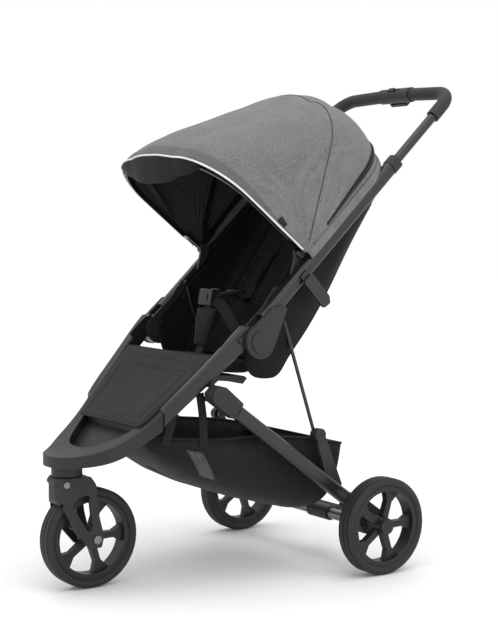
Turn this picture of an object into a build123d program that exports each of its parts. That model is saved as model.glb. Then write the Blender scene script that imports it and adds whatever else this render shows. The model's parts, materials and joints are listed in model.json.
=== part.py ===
from build123d import *
import os
from math import atan2, cos, hypot, radians, sin, tan

# Three-wheeled folding stroller. Millimetres, +Z up, -Y forward, +X the stroller's left.
# Side points are (y, z) pairs measured from the rear axle line (y) and the ground (z); the
# finished pieces are moved together so that the origin is under the middle of the footprint.

# ---- overall sizes ----
OVERALL_WIDTH = 525.0
WHEELBASE = 515.0
WHEEL_D = 190.0
REAR_TYRE_W = 40.0
FRONT_TYRE_W = 44.0
HANDLE_REACH = 690.0          # hinge to handlebar, along the upper rails
RAIL_ANGLE = 43.0             # slope of the side rails
GAP = 0.5                     # between pieces that move past each other
FIT = 0.05                    # radial clearance of a pin in its bore

# ---- wheels ----
TYRE_H = 17.0
RIM_W = 30.0
RIM_WALL = 9.0
SPOKES = 5
HUB_R = 17.0
BEARING_R = 11.0
BEARING_W = 7.0
AXLE_R = 5.0

# ---- side geometry ----
WHEEL_R = WHEEL_D / 2
REAR_WHEEL_X = (OVERALL_WIDTH - REAR_TYRE_W) / 2
HINGE = (-256.0, 465.0)
LEG_PIVOT = (-345.0, 369.0)
STRUT_FOOT = (-104.0, 275.0)
STRUT_TOP = (-194.0, 556.0)
CANOPY_PIVOT = (-145.0, 628.0)
SEAT_BITE = (-198.0, 404.0)
BACK_TOP = (34.0, 734.0)
STEER = (-WHEELBASE - 45.0, 0.0)

# ---- frame sections ----
RAIL_X = 178.0
RAIL_W = 22.0
RAIL_D = 28.0
RAIL_OFF = 16.7               # rail centre line above the hinge centre
TUBE_R = 9.5
RAIL_START = 40.0
RAIL_END = 462.0
COLLAR_L = 22.0
LEG_X = 181.0
LEG_W = 22.0
LEG_D = 27.0
STRUT_R = 3.5
STRUT_X_TOP = 158.0
STRUT_X_FOOT = 163.0
HINGE_R = 32.0
HINGE_PLATE = 9.0
INNER_PLATE = 4.5
CAP_R = 21.0
FABRIC = 4.0

RAIL_DIR = (cos(radians(RAIL_ANGLE)), sin(radians(RAIL_ANGLE)))
RAIL_UP = (-RAIL_DIR[1], RAIL_DIR[0])
parts = {}


# ---- helpers ----
def add(name, shape):
    parts[name] = shape


def pair(name, shape):
    """A left piece and its mirror image on the right, in two nodes."""
    add(name + "_left", shape)
    add(name + "_right", mirror(shape, about=Plane.YZ))


def twins(name, *shapes):
    """Left pieces and their mirror images on the right, as separate solids of one node."""
    solids = []
    for shape in shapes:
        for copy in (shape, mirror(shape, about=Plane.YZ)):
            solids += copy.solids()
    add(name, Compound(solids))


def along(distance, offset=0.0):
    """Side point at a distance from the hinge along the rails and an offset above it."""
    return (HINGE[0] + distance * RAIL_DIR[0] + offset * RAIL_UP[0],
            HINGE[1] + distance * RAIL_DIR[1] + offset * RAIL_UP[1])


def rounded(points, radius):
    """Closed outline with arcs at its corners, each limited by the sides it joins."""
    corners = []
    count = len(points)
    for i, corner in enumerate(points):
        here = Vector(*corner)
        back = Vector(*points[i - 1]) - here
        ahead = Vector(*points[(i + 1) % count]) - here
        half_angle = radians(back.get_angle(ahead)) / 2
        reach = min(radius / tan(half_angle), 0.45 * back.length, 0.45 * ahead.length)
        start = here + back.normalized() * reach
        end = here + ahead.normalized() * reach
        bisector = (back.normalized() + ahead.normalized()).normalized()
        arc_r = reach * tan(half_angle)
        middle = here + bisector * (arc_r / sin(half_angle) - arc_r)
        corners.append((start, middle, end))
    edges = []
    for i, (start, middle, end) in enumerate(corners):
        edges.append(Edge.make_line(corners[i - 1][2], start))
        edges.append(Edge.make_three_point_arc(start, middle, end))
    return Face(Wire(edges))


def slab(points, x0, x1, radius=0.0):
    """Side outline given thickness from x0 to x1."""
    face = rounded(points, radius) if radius else make_face(Polyline(*points, close=True))
    return extrude(Plane.YZ.offset(x0) * face, x1 - x0, dir=(1, 0, 0))


def disc(centre, x0, x1, radius):
    return extrude(Plane.YZ.offset(x0) * Pos(*centre) * Circle(radius), x1 - x0)


def ring(centre, x0, x1, outer, inner):
    return disc(centre, x0, x1, outer) - disc(centre, x0 - 1, x1 + 1, inner)


def rod(start, end, radius):
    start, end = Vector(*start), Vector(*end)
    return extrude(Plane(origin=start, z_dir=end - start) * Circle(radius), (end - start).length)


def beam(start, end, width, depth, radius):
    """Rounded tube between two 3-D points, width across the stroller."""
    start, end = Vector(*start), Vector(*end)
    plane = Plane(origin=start, x_dir=(1, 0, 0), z_dir=end - start)
    return extrude(plane * RectangleRounded(width, depth, radius), (end - start).length)


def between(a, b, t):
    return tuple(p + (q - p) * t for p, q in zip(a, b))


def polar(centre, angle, radius):
    return (centre[0] + radius * cos(radians(angle)), centre[1] + radius * sin(radians(angle)))


# ---- wheels ----
def wheel(prefix, centre, x, tyre_w):
    """Tyre, spoked rim and two bearings around an axle along X."""
    rim_r = WHEEL_R - TYRE_H
    half = tyre_w / 2
    section = rounded([(rim_r, -RIM_W / 2), (WHEEL_R - TYRE_H * 0.6, -half), (WHEEL_R, -half * 0.8),
                       (WHEEL_R, half * 0.8), (WHEEL_R - TYRE_H * 0.6, half),
                       (rim_r, RIM_W / 2)], 6)
    tyre = revolve(Plane.XZ * section, Axis.Z)
    lay = Pos(x, *centre) * Rot(0, 90, 0)
    groove = revolve(Plane.XZ * Pos(WHEEL_R, 0) * Rectangle(2.4, 2.4), Axis.Z)
    for shift in (-0.3, 0.0, 0.3):
        tyre -= Pos(0, 0, shift * tyre_w) * groove
    add(prefix + "_tyre", lay * tyre)

    hoop = Cylinder(rim_r, RIM_W) - Cylinder(rim_r - RIM_WALL, RIM_W + 2)
    hub = Cylinder(HUB_R, RIM_W)
    rim = hoop + hub
    inner = rim_r - RIM_WALL
    for k in range(SPOKES):
        turn = Rot(0, 0, 90 + k * 360 / SPOKES)
        blade = Polyline((HUB_R - 4, -7), (inner - 20, -6), (inner + 3, -19),
                         (inner + 3, 19), (inner - 20, 6), (HUB_R - 4, 7), close=True)
        rim += turn * Pos(0, 0, -7) * extrude(make_face(blade), 14)
    bore = Cylinder(AXLE_R + FIT, RIM_W + 2)
    pocket = Cylinder(BEARING_R, BEARING_W)
    bearings = []
    for side in (-1, 1):
        seat = Pos(0, 0, side * (RIM_W - BEARING_W) / 2)
        rim -= seat * pocket
        bearings.append(lay * seat * (pocket - bore))
    add(prefix + "_rim", lay * (rim - bore))
    add(prefix + "_bearings", Compound(bearings))


rear_centre = (0.0, WHEEL_R)
front_centre = (-WHEELBASE, WHEEL_R)
for side_name, sign in (("left", 1), ("right", -1)):
    wheel("rear_" + side_name, rear_centre, sign * REAR_WHEEL_X, REAR_TYRE_W)
    cap_x = sign * (REAR_WHEEL_X + RIM_W / 2)
    cap = Pos(cap_x + sign * 2.5, *rear_centre) * Rot(0, 90, 0) * Cylinder(15, 5)
    add("rear_%s_hub_cap" % side_name, cap)
wheel("front", front_centre, 0.0, FRONT_TYRE_W)

# ---- front fork: head over the wheel, two legs with a window, stem and axle ----
FORK_GAP = FRONT_TYRE_W + 8
FORK_W = FORK_GAP + 14
FORK_TOP = 216.0
fork_side = slab([(-592, FORK_TOP), (-592, 176), (-558, 112), (-530, 79), (-505, 79),
                  (-500, 100), (-510, 140), (-516, 200), (-527, FORK_TOP)],
                 -FORK_W / 2, FORK_W / 2, 6)
fork_window = slab([(-566, 164), (-552, 180), (-531, 182), (-524, 120), (-531, 107)],
                   -FORK_W, FORK_W, 4)
wheel_room = disc(front_centre, -FORK_GAP / 2, FORK_GAP / 2, WHEEL_R + 6)
low_room = Pos(0, front_centre[0], 60) * Box(FORK_GAP, 2 * WHEEL_R, 120)
axle_hole = disc(front_centre, -FORK_W, FORK_W, AXLE_R)
fork_plan = Pos(0, STEER[0], 150) * Cylinder(FORK_W / 2 + 1, 200)
fork_plan += Pos(0, STEER[0] + 50, 150) * Box(FORK_W, 100, 200)
fork = (fork_side & fork_plan) - fork_window - wheel_room - low_room - axle_hole
add("front_fork", fork)
front_axle = disc(front_centre, -FORK_W / 2 - 3, FORK_W / 2 + 3, AXLE_R)
front_axle += ring(front_centre, FORK_W / 2, FORK_W / 2 + 3, 8, AXLE_R - 1)
front_axle += ring(front_centre, -FORK_W / 2 - 3, -FORK_W / 2, 8, AXLE_R - 1)
STEM_R = 8.0
stem_top = 246.0
add("steering_stem", Pos(0, STEER[0], (FORK_TOP + stem_top) / 2)
    * Cylinder(STEM_R, stem_top - FORK_TOP))
fork_screw = disc((-578, 205), FORK_W / 2, FORK_W / 2 + 2.5, 6)
add("fork_fasteners", Compound([front_axle.solid(), fork_screw.solid(),
                                mirror(fork_screw, about=Plane.YZ).solid()]))

# ---- nose moulding with its footwell, carrying the steering bearing ----
NOSE_TIP = -600.0
NOSE_JOINT = -436.0
nose_half = [(0.0, NOSE_TIP), (34.0, -592.0), (64.0, -564.0), (90.0, -536.0), (110.0, -505.0),
             (125.0, -474.0), (140.0, NOSE_JOINT)]
well_half = [(0.0, -540.0), (40.0, -533.0), (72.0, -507.0), (100.0, -468.0), (116.0, -436.0)]


def plan_solid(half, back, low, high):
    """Upright solid inside a front outline that is mirrored left to right."""
    right = [(-x, y) for x, y in reversed(half)]
    curve = Spline(*(right + half[1:]))
    edge = half[-1]
    corners = [edge, (edge[0], back), (-edge[0], back), (-edge[0], edge[1])]
    return extrude(Plane.XY.offset(low) * make_face(curve + Polyline(*corners)), high - low)


nose_top = [(NOSE_TIP, 258.0), (-560, 263.0), (-530, 274.0), (-505, 287.0), (-480, 303.0),
            (-455, 323.0), (NOSE_JOINT, 341.0)]
nose_bottom = [(NOSE_JOINT, 306.0), (-457, 291.0), (-480, 274.0), (-505, 258.0), (-535, 246.0),
               (-562, 240.0), (NOSE_TIP, 237.0)]
nose_band = extrude(Plane.YZ.offset(-200) * make_face(
    Spline(*nose_top) + Line(nose_top[-1], nose_bottom[0]) + Spline(*nose_bottom)
    + Line(nose_bottom[-1], nose_top[0])), 400)
nose = plan_solid(nose_half, NOSE_JOINT + 1, 150, 400) & nose_band
well = plan_solid(well_half, NOSE_JOINT + 20, 242, 420)
collar_r = 29.0
collar = Pos(0, STEER[0], 233) * Cylinder(collar_r, 30)
BUSH_R = 13.0
stem_bore = Pos(0, STEER[0], 233) * Cylinder(BUSH_R, 40)
BAR = (-452.0, 304.0)
footrest_bar = extrude(Plane.YZ.offset(-116) * Pos(*BAR) * RectangleRounded(16, 20, 5), 232)
WELL_FLOOR = 6.0
floor_top = [(y, z + WELL_FLOOR) for y, z in nose_bottom]
floor_band = extrude(Plane.YZ.offset(-200) * make_face(
    Spline(*nose_bottom) + Line(nose_bottom[-1], floor_top[-1]) + Spline(*reversed(floor_top))
    + Line(floor_top[0], nose_bottom[0])), 400)
well_floor = plan_solid(nose_half, NOSE_JOINT + 1, 150, 400) & floor_band
nose = (nose + collar) - well + well_floor - stem_bore - footrest_bar
add("nose_frame", nose)
add("footrest_bar", footrest_bar)
bush_low = FORK_TOP + 2.0
bush = Pos(0, STEER[0], (bush_low + 252) / 2) * Cylinder(BUSH_R, 252 - bush_low)
bush -= Pos(0, STEER[0], 233) * Cylinder(STEM_R + FIT, 60)
add("steering_bush", bush)

# ---- lower rails: curved from the nose joint up to the hinge boss ----
low_line = [(NOSE_JOINT - 14, 120.0, 305.0, 24.0, 29.0), (-405.0, 146.0, 359.0, 22.0, 29.0),
            (-365.0, 157.0, 396.0, 22.0, 31.0), (-325.0, 167.0, 433.5, 22.0, 34.0),
            (-268.0, 177.0, 486.0, 22.0, 38.0)]


def lower_rail():
    """Loft through rounded sections set square to the rail."""
    sections = []
    for i, (y, x, z, width, depth) in enumerate(low_line):
        before = low_line[max(i - 1, 0)]
        after = low_line[min(i + 1, len(low_line) - 1)]
        tangent = Vector(after[1] - before[1], after[0] - before[0], after[2] - before[2])
        across = Vector(0, 0, 1).cross(tangent)
        plane = Plane(origin=(x, y, z), x_dir=across * -1, z_dir=tangent)
        sections.append(plane * RectangleRounded(width, depth, 8))
    rail = loft(sections)
    inner = RAIL_X - RAIL_W / 2
    outer = RAIL_X + RAIL_W / 2
    boss = disc(HINGE, inner, outer, HINGE_R - 2)
    neck = slab([along(-30, -2), along(-30, 34), along(-4, 34), along(8, 27), along(8, -20)],
                inner, outer)
    swept = ring(HINGE, inner - 20, outer + 20, 200, RAIL_START - 3) & slab(
        [along(-2, -200), along(-2, 200), along(200, 200), along(200, -200)],
        inner - 20, outer + 20)
    lug = slab([along(-105, -6), along(-141, -6), polar(LEG_PIVOT, 180, 14),
                polar(LEG_PIVOT, 235, 15), polar(LEG_PIVOT, 300, 15), polar(LEG_PIVOT, 0, 15)],
               LEG_X - LEG_W / 2 - 16, LEG_X - LEG_W / 2 - GAP, 3)
    front = Pos(0, NOSE_JOINT + 1 - 100, 300) * Box(600, 200, 300)
    sides = disc(HINGE, inner - 40, inner, 70) + disc(HINGE, outer, outer + 40, 70)
    body = (rail - front - sides) + boss + neck - swept + lug
    body -= disc(HINGE, inner - 1, outer + 1, 6 + FIT)
    return body - disc(LEG_PIVOT, 100, 250, 5)


twins("lower_rails", lower_rail())
twins("pivot_pins",
      disc(HINGE, RAIL_X - RAIL_W / 2 - INNER_PLATE, RAIL_X + RAIL_W / 2 + HINGE_PLATE, 6),
      disc(LEG_PIVOT, LEG_X - LEG_W / 2 - 16, LEG_X + LEG_W / 2 - 2, 5))

# ---- upper frame ----
inner_x = RAIL_X - RAIL_W / 2
outer_x = RAIL_X + RAIL_W / 2
rail_start = along(RAIL_START, RAIL_OFF)
rail_end = along(RAIL_END, RAIL_OFF)
upper_rail = beam((RAIL_X, *rail_start), (RAIL_X, *rail_end), RAIL_W, RAIL_D, 8)
bore_start = along(90, RAIL_OFF)
upper_rail -= rod((RAIL_X, *bore_start), (RAIL_X, *along(RAIL_END + 5, RAIL_OFF)), TUBE_R + 0.3)
twins("upper_rails", upper_rail)

collar_start = along(RAIL_END, RAIL_OFF)
rail_collar = beam((RAIL_X, *collar_start), (RAIL_X, *along(RAIL_END + COLLAR_L, RAIL_OFF)),
                   RAIL_W + 4, RAIL_D + 2, 9)
rail_collar -= rod((RAIL_X, *along(RAIL_END - 5, RAIL_OFF)),
                   (RAIL_X, *along(RAIL_END + COLLAR_L + 5, RAIL_OFF)), TUBE_R + 0.3)
twins("rail_collars", rail_collar)

tail = [along(-4, HINGE_R - 2), along(62, 28), along(84, 12), along(84, 2), along(20, -HINGE_R + 6)]
plate_hole = disc(HINGE, 100, 250, 6 + FIT)
outer_plate = (disc(HINGE, outer_x + GAP / 2, outer_x + HINGE_PLATE, HINGE_R)
               + slab(tail, outer_x + GAP / 2, outer_x + HINGE_PLATE, 2))
inner_plate = (disc(HINGE, inner_x - INNER_PLATE, inner_x - GAP / 2, HINGE_R - 2)
               + slab(tail, inner_x - INNER_PLATE, inner_x - GAP / 2, 2))
twins("hinge_covers", outer_plate - plate_hole)
twins("hinge_caps", disc(HINGE, outer_x + HINGE_PLATE, outer_x + HINGE_PLATE + 2.5, CAP_R))

strut_lug = slab([along(60, 6), along(60, 28), polar(STRUT_TOP, 133, 11), polar(STRUT_TOP, 43, 11),
                  polar(STRUT_TOP, -47, 11), along(78, 4)],
                 inner_x - INNER_PLATE, inner_x - GAP / 2, 4)
twins("hinge_inner_plates", (inner_plate - plate_hole) + strut_lug)

# ---- fold hook on the left rail ----
hook = slab([along(146, 12), along(172, 12), along(172, -50), along(164, -62), along(146, -58)],
            outer_x + 5, outer_x + 10, 5)
hook += slab([along(150, 4), along(168, 4), along(168, 22), along(150, 22)], outer_x, outer_x + 5.5)
add("fold_hook", hook)

# ---- canopy pivots on the rails ----
pivot_foot = along(150, RAIL_OFF + RAIL_D / 2 - 6)
pivot_arm = slab([pivot_foot, along(180, RAIL_OFF + RAIL_D / 2 - 6),
                  (CANOPY_PIVOT[0] + 12, CANOPY_PIVOT[1]), (CANOPY_PIVOT[0] - 8, CANOPY_PIVOT[1])],
                 inner_x - 6, inner_x)
pivot_arm += disc(CANOPY_PIVOT, inner_x - 6, inner_x, 11)
twins("canopy_pivots", pivot_arm + disc(CANOPY_PIVOT, inner_x - 6, inner_x + 12, 4))

# ---- handlebar: two sliding tubes, a bowed crossbar, a soft grip and the centre housing ----
HANDLE_IN = 250.0
GRIP_START = 616.0
BEND_R = 46.0
BOW = 10.0
handle_plane = Plane(origin=(0, *along(0, RAIL_OFF)), x_dir=(1, 0, 0),
                     z_dir=(0, RAIL_UP[0], RAIL_UP[1]))
GRIP_R = 13.5
for_grip = FilletPolyline((-RAIL_X, GRIP_START), (-RAIL_X, HANDLE_REACH),
                          (0, HANDLE_REACH + BOW), (RAIL_X, HANDLE_REACH),
                          (RAIL_X, GRIP_START), radius=BEND_R)
grip_path = handle_plane * for_grip
grip_start_plane = Plane(origin=grip_path @ 0, z_dir=grip_path % 0)
grip_outer = sweep(grip_start_plane * Circle(GRIP_R), path=grip_path)
grip_inner = sweep(grip_start_plane * Circle(TUBE_R), path=grip_path)
handle_core = grip_inner
HOUSING_W = 96.0
housing_cut = Box(HOUSING_W, 120, 120)
housing_place = Pos(0, *along(HANDLE_REACH + BOW * 0.7, RAIL_OFF)) * Rot(RAIL_ANGLE, 0, 0)
grip = grip_outer - grip_inner - housing_place * housing_cut
add("handle_grips", Compound(grip.solids()))
add("handle_bar", handle_core)
inner_tube = rod((RAIL_X, *along(RAIL_END - HANDLE_IN, RAIL_OFF)),
                 (RAIL_X, *along(GRIP_START, RAIL_OFF)), TUBE_R)
inner_tube -= rod((RAIL_X, *along(RAIL_END - HANDLE_IN - 5, RAIL_OFF)),
                  (RAIL_X, *along(GRIP_START - 8, RAIL_OFF)), TUBE_R - 1.5)
twins("handle_tubes", inner_tube)
housing = housing_place * extrude(Plane.YZ.offset(-HOUSING_W / 2 + 0.2)
                                  * RectangleRounded(30, 30, 13), HOUSING_W - 0.4)
housing -= grip_inner
TRIGGER = (HOUSING_W - 42, 16.0, 6.0)
trigger_at = housing_place * Pos(0, -3, -17.5)
trigger_room = trigger_at * Pos(0, 0, 2) * Box(TRIGGER[0] + 2, TRIGGER[1] + 2, 13)
slider_at = housing_place * Pos(0, 2, 14.6)
slider_room = slider_at * Box(38, 12, 5)
add("handle_housing", housing - trigger_room - slider_room)
trigger = trigger_at * fillet(Box(*TRIGGER).edges().filter_by(Axis.Z), 5)
add("fold_trigger", trigger)
add("fold_slider", slider_at * (Pos(-8, 0, 0.8) * Box(18, 9, 4)))

# ---- rear legs ----
leg_end = (30.0, 92.0)
leg_start = between(LEG_PIVOT, leg_end, 0.12)
leg_stop = between(LEG_PIVOT, leg_end, 0.93)
leg = beam((LEG_X, *leg_start), (LEG_X, *leg_stop), LEG_W, LEG_D, 8)
leg_dir = atan2(leg_end[1] - LEG_PIVOT[1], leg_end[0] - LEG_PIVOT[0])
leg_len = hypot(leg_end[0] - LEG_PIVOT[0], leg_end[1] - LEG_PIVOT[1])


def on_leg(distance, offset):
    """Side point at a distance down the leg from its pivot and an offset above it."""
    return (LEG_PIVOT[0] + distance * cos(leg_dir) - offset * sin(leg_dir),
            LEG_PIVOT[1] + distance * sin(leg_dir) + offset * cos(leg_dir))


leg_in = LEG_X - LEG_W / 2
leg_out = LEG_X + LEG_W / 2
twins("rear_legs", leg)
BRACKET_L = 56.0
bracket = slab([on_leg(-20, -8), on_leg(-16, 14), on_leg(4, 22), on_leg(BRACKET_L, 18),
                on_leg(BRACKET_L, -17), on_leg(-6, -17)], leg_in, leg_out - 2, 5)
bracket -= beam((LEG_X, *on_leg(leg_len * 0.12, 0)), (LEG_X, *on_leg(leg_len * 0.5, 0)),
                LEG_W, LEG_D, 8)
twins("leg_brackets", bracket - disc(LEG_PIVOT, 100, 250, 5 + FIT))
twins("leg_pivot_caps", disc(LEG_PIVOT, leg_out - 2, leg_out + 1.5, 16))

foot_base = on_leg(leg_len * 0.66, LEG_D / 2)
foot_base_low = on_leg(leg_len * 0.78, LEG_D / 2)
strut_bracket = slab([foot_base, foot_base_low, polar(STRUT_FOOT, 20, 12),
                      polar(STRUT_FOOT, 90, 12), polar(STRUT_FOOT, 160, 12)],
                     leg_in, leg_in + 10, 3)
strut_bracket += disc(STRUT_FOOT, leg_in, leg_in + 14, 12.5)
strut_bracket -= beam((LEG_X, *leg_start), (LEG_X, *leg_stop), LEG_W, LEG_D, 8)
strut_bracket -= disc(STRUT_FOOT, 100, 250, 4)
strut_pin = disc(STRUT_FOOT, STRUT_X_FOOT - STRUT_R - 1, leg_in + 13, 4)
twins("strut_brackets", strut_bracket, strut_pin)

# ---- struts: pinned at the foot, hooked beside the lug at the top ----
strut = rod((STRUT_X_FOOT, *STRUT_FOOT), (STRUT_X_TOP, *STRUT_TOP), STRUT_R)
strut += disc(STRUT_FOOT, STRUT_X_FOOT - STRUT_R, STRUT_X_FOOT + STRUT_R, 8)
strut += disc(STRUT_TOP, STRUT_X_TOP - STRUT_R, STRUT_X_TOP + STRUT_R, 7)
strut -= disc(STRUT_FOOT, 100, 250, 4 + FIT)
twins("struts", strut)

# ---- rear axle: cross tube, end housings and stub axles ----
AXLE_TUBE = (10.0, 88.0)
AXLE_TUBE_R = 11.0
housing_low = slab([on_leg(leg_len * 0.82, 17), on_leg(leg_len * 0.985, 19), (26, 84), (14, 72),
                    (-10, 72), on_leg(leg_len * 0.82, -17)], leg_in - 2, leg_out + 14, 6)
housing_low -= beam((LEG_X, *leg_start), (LEG_X, *leg_stop), LEG_W, LEG_D, 8)
housing_low -= disc(rear_centre, 100, 300, AXLE_R)
wheel_in = REAR_WHEEL_X - REAR_TYRE_W / 2
PIN_AT = polar(rear_centre, 126, 40.0)
housing_low += disc(PIN_AT, leg_out + 12, leg_out + 24, 6)
housing_low -= disc(PIN_AT, leg_out + 0.5, 300, 3 + FIT)
twins("axle_housings", housing_low)
axle_stub = disc(rear_centre, leg_in + 2, REAR_WHEEL_X + RIM_W / 2, AXLE_R)
axle_stub += disc(rear_centre, leg_out + 14, REAR_WHEEL_X - RIM_W / 2 - GAP, 9)
axle_tube = disc(AXLE_TUBE, -(leg_in - 2), leg_in - 2, AXLE_TUBE_R)
add("rear_axle", Compound([axle_tube.solid(), axle_stub.solid(),
                           mirror(axle_stub, about=Plane.YZ).solid()]))

# ---- brake: a pedal on the axle tube and a pin into each wheel ----
PEDAL_X = 40.0
pedal_ring = ring(AXLE_TUBE, PEDAL_X - 32, PEDAL_X + 32, AXLE_TUBE_R + 4, AXLE_TUBE_R + FIT)
pedal_pad = slab([(18, 98), (24, 92), (66, 84), (68, 91), (30, 104)], PEDAL_X - 32, PEDAL_X + 32, 2)
pedal_pad -= disc(AXLE_TUBE, PEDAL_X - 40, PEDAL_X + 40, AXLE_TUBE_R + 2)
add("brake_pedal", pedal_ring + pedal_pad)
pair("brake_pin", disc(PIN_AT, leg_out + 1, REAR_WHEEL_X - RIM_W / 2 - 1, 3))

# ---- seat fabric ----
panel_low = (-470.0, 313.0)
panel_high = (-336.0, 437.0)


def sling(low, high, low_half, high_half, thickness):
    """Tapered panel between two side points, wider at the top."""
    direction = Vector(0, high[0] - low[0], high[1] - low[1])
    plane = Plane(origin=(0, *low), x_dir=(1, 0, 0), z_dir=direction)
    bottom = plane * Rectangle(2 * low_half, thickness)
    top = plane.offset(direction.length) * Rectangle(2 * high_half, thickness)
    return loft([bottom, top])


add("calf_panel", sling(panel_low, panel_high, 97, 140, 6))
SEAT_FRONT = (-330.0, 431.0)
SEAT_T = 24.0
add("seat_base", slab([SEAT_FRONT, (SEAT_BITE[0] - 7, 416), (SEAT_BITE[0] - 7, 416 - SEAT_T),
                       (-300, 400), (-326, 410)], -140, 140, 4))
back_dir = atan2(BACK_TOP[1] - SEAT_BITE[1], BACK_TOP[0] - SEAT_BITE[0])
back_len = hypot(BACK_TOP[1] - SEAT_BITE[1], BACK_TOP[0] - SEAT_BITE[0])


def on_back(distance, depth):
    """Side point up the backrest from the seat bite, and behind its front face."""
    return (SEAT_BITE[0] + distance * cos(back_dir) + depth * sin(back_dir),
            SEAT_BITE[1] + distance * sin(back_dir) - depth * cos(back_dir))


BACK_T = 16.0
BACK_WELT_R = 5.0
back_pad = slab([on_back(2, 0), on_back(back_len, 0), on_back(back_len, BACK_T),
                 on_back(2, BACK_T)], -144, 144, 1)
add("backrest", back_pad + disc(SEAT_BITE, -144, 144, BACK_WELT_R))
add("backrest_board", slab([on_back(20, BACK_T + 0.5), on_back(back_len - 20, BACK_T + 0.5),
                            on_back(back_len - 20, BACK_T + 4), on_back(20, BACK_T + 4)],
                           -130, 130))
side_panel = slab([along(24, -8), along(RAIL_END - 60, -8), (BACK_TOP[0] + 16, BACK_TOP[1] - 12),
                   (-172, 392), (-236, 396), (-258, 425)], 148, 148 + FABRIC)
twins("seat_sides", side_panel)
add("seat_bracket", slab([(-318, 396), (-300, 398), (-240, 393), (-234, 388), (-244, 378),
                          (-266, 384), (-300, 388), (-318, 376)], -120, 120))

# ---- harness ----
add("crotch_pad", slab([(-268, 442), (-258, 442), (-240, 520), (-252, 522)], -26, 26, 4))
add("crotch_strap", slab([(-272, 425), (-266, 424.5), (-261, 441.5), (-265, 441.5)], -12, 12))
BUCKLE = (-254.0, 523.0)
BUCKLE_UP = (0.179, 0.984)


def on_buckle(height, depth):
    """Side point on the buckle, up its front face and behind it."""
    return (BUCKLE[0] + height * BUCKLE_UP[0] + depth * BUCKLE_UP[1],
            BUCKLE[1] + height * BUCKLE_UP[1] - depth * BUCKLE_UP[0])


def buckle_block(low, high, front, back, half, radius=0.0):
    return slab([on_buckle(low, front), on_buckle(high, front), on_buckle(high, back),
                 on_buckle(low, back)], -half, half, radius)


add("harness_buckle", buckle_block(0, 33, 0, 15, 22, 4) - buckle_block(9, 23, -2, 7, 8.3))
add("buckle_button", buckle_block(9.3, 22.7, -1.5, 4.5, 8))
strap = slab([on_back(165, -3), on_back(300, -3), on_back(300, -0.5), on_back(165, -0.5)], 34, 60)
twins("shoulder_pads", slab([on_back(170, -12), on_back(262, -12), on_back(262, -3.5),
                           on_back(170, -3.5)], 30, 64, 3))
twins("shoulder_straps", strap)

# ---- canopy ----
BOW_X = 186.0
BOW_ROOT = 46.0


def arch(angle, half, height, radius, crown, start):
    """Closed rib outline in the plane through the canopy pivot at an angle."""
    up = Vector(0, cos(radians(angle)), sin(radians(angle)))
    plane = Plane(origin=(0, *CANOPY_PIVOT), x_dir=(1, 0, 0), z_dir=Vector(1, 0, 0).cross(up))
    side = height - radius
    legs = Polyline((-half, side), (-half, start), (half, start), (half, side))
    k = radius * (1 - cos(radians(45)))
    right = ThreePointArc((half, side), (half - k, height - k), (half - radius, height))
    left = ThreePointArc((-half + radius, height), (-half + k, height - k), (-half, side))
    top = ThreePointArc((half - radius, height), (0, height + crown), (-half + radius, height))
    return plane * make_face(legs + right + top + left)


canopy_ribs = [(141.5, 289.0, 112.0, 10.0), (112.0, 268.0, 80.0, 14.0), (90.0, 282.0, 90.0, 16.0),
               (74.0, 305.0, 100.0, 20.0), (60.0, 314.0, 100.0, 32.0), (45.0, 296.0, 90.0, 16.0)]


def canopy_solid(grow, extra):
    """Lofted hood between the first and last rib, grown by a skin thickness."""
    ribs = []
    for i, (angle, height, radius, crown) in enumerate(canopy_ribs):
        turn = extra if i == 0 else (-extra if i == len(canopy_ribs) - 1 else 0.0)
        start = 22.0 if not extra else -30.0
        ribs.append(arch(angle + turn, 190.0 + grow, height + grow, radius, crown, start))
    return loft(ribs, ruled=True)


canopy = canopy_solid(0.0, 0.0) - canopy_solid(-3.0, 2.0)
add("canopy_fabric", canopy)


def canopy_bow(angle, height, radius, crown):
    """Thin flat bow inside the fabric, from one pivot over to the other."""
    outer = arch(angle, BOW_X, height, radius, crown, 0.0)
    inner = arch(angle, BOW_X - 3.5, height - 3.5, radius, crown, -20.0)
    face = outer - inner
    return extrude(face, 5, both=True)


def bow_with_eyes(angle, height, radius, crown, x):
    bow = canopy_bow(angle, height - 6, radius, crown)
    eye = disc(CANOPY_PIVOT, x, x + 3.0, 9)
    reach = slab([polar(CANOPY_PIVOT, angle + 90, 4), polar(CANOPY_PIVOT, angle - 90, 4),
                  polar(CANOPY_PIVOT, angle - 5, BOW_ROOT + 4),
                  polar(CANOPY_PIVOT, angle + 5, BOW_ROOT + 4)],
                 x, x + 3.0)
    eye += reach
    link = slab([polar(CANOPY_PIVOT, angle - 5, BOW_ROOT - 6),
                 polar(CANOPY_PIVOT, angle - 5, BOW_ROOT + 4),
                 polar(CANOPY_PIVOT, angle + 5, BOW_ROOT + 4),
                 polar(CANOPY_PIVOT, angle + 5, BOW_ROOT - 6)],
                x, BOW_X - 0.5)
    core = disc(CANOPY_PIVOT, 150, 200, BOW_ROOT)
    bow -= core + mirror(core, about=Plane.YZ)
    hole = disc(CANOPY_PIVOT, 100, 250, 4 + FIT)
    arm = eye + link - hole
    return bow + arm + mirror(arm, about=Plane.YZ)


eye_x = {"canopy_bow_front": inner_x + GAP, "canopy_bow_middle": inner_x + 4.0,
         "canopy_bow_rear": inner_x + 7.5}
bow_ribs = {"canopy_bow_front": (141.5, 286.0, 112.0, 9.0),
            "canopy_bow_middle": (74.0, 305.0, 100.0, 18.0),
            "canopy_bow_rear": (47.0, 298.0, 90.0, 12.0)}
for bow_name, rib in bow_ribs.items():
    add(bow_name, bow_with_eyes(*rib, eye_x[bow_name]))

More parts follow.
